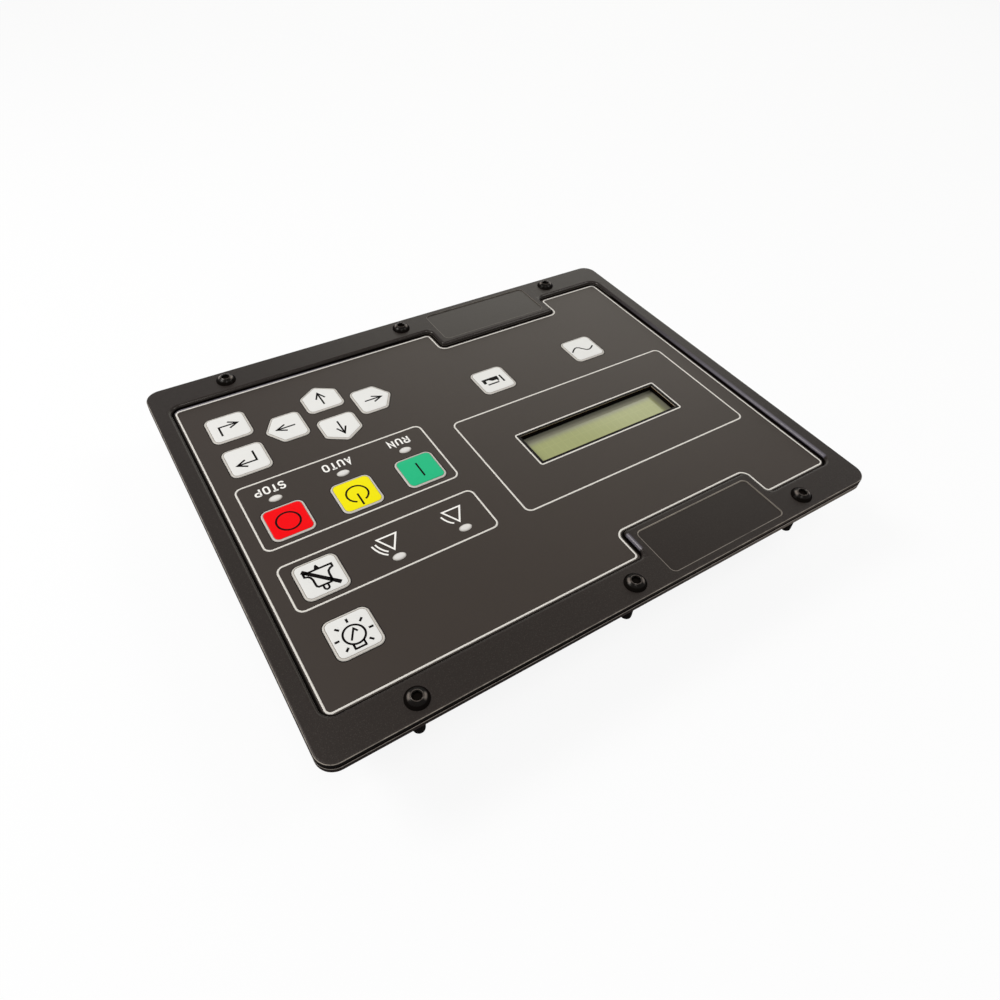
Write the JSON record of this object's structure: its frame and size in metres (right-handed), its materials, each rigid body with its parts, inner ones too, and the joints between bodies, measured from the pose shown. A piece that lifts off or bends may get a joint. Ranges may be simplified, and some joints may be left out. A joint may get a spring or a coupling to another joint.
{
  "type": "engine control panel",
  "caption": "Flat rectangular operator control panel for an engine, with a recessed membrane keypad, a character display, corner and middle screws, and a finned rear housing.",
  "frame": {"origin": "middle of the screw pattern, on the plane where the door seal meets the door", "axes": "+X to the right and +Y up as the panel is read, +Z out of its face"},
  "size_m": [0.266, 0.213, 0.0471],
  "materials": {
    "bezel": "fine-textured moulded plastic",
    "overlay": "fine-textured printed film",
    "spacer_sheet": "clear adhesive-backed sheet",
    "spring_steel": "bright stamped sheet",
    "switch_sheet": "amber film",
    "indicator": "diffusing",
    "foam": "soft foam",
    "frame_metal": "blackened sheet",
    "display": "polarised",
    "backlight": "diffusing",
    "circuit_board": "solder-masked",
    "screw_steel": "zinc plated",
    "strip": "moulded",
    "chip": "moulded",
    "can": "sleeved can",
    "socket": "moulded",
    "seal": "soft",
    "housing": "cast, dark powder coated",
    "header": "glass-filled moulding",
    "contacts": "plated",
    "nut": "turned",
    "screw_black": "glossy black",
    "washer": "nylon"
  },
  "bodies": {
    "root": {"front_bezel": "bezel", "keypad_overlay": "overlay", "dome_spacer": "spacer_sheet", "snap_domes": "spring_steel", "switch_film": "switch_sheet", "indicator_leds": "indicator", "display_foam": "foam", "display_frame": "frame_metal", "display_glass": "display", "display_backlight": "backlight", "display_board": "circuit_board", "display_screws": "screw_steel", "display_header": "strip", "main_board": "circuit_board", "board_screws": "screw_steel", "processor": "chip", "driver_chips": "chip", "capacitors": "can", "tail_socket": "socket", "rim_seal": "seal", "rear_housing": "housing", "housing_screws": "screw_steel", "header_body": "header", "header_pins": "contacts", "header_seal": "seal", "jack_nut": "nut", "door_seal": "seal", "panel_screws": "screw_black", "screw_retainers": "washer"}
  },
  "joints": []
}
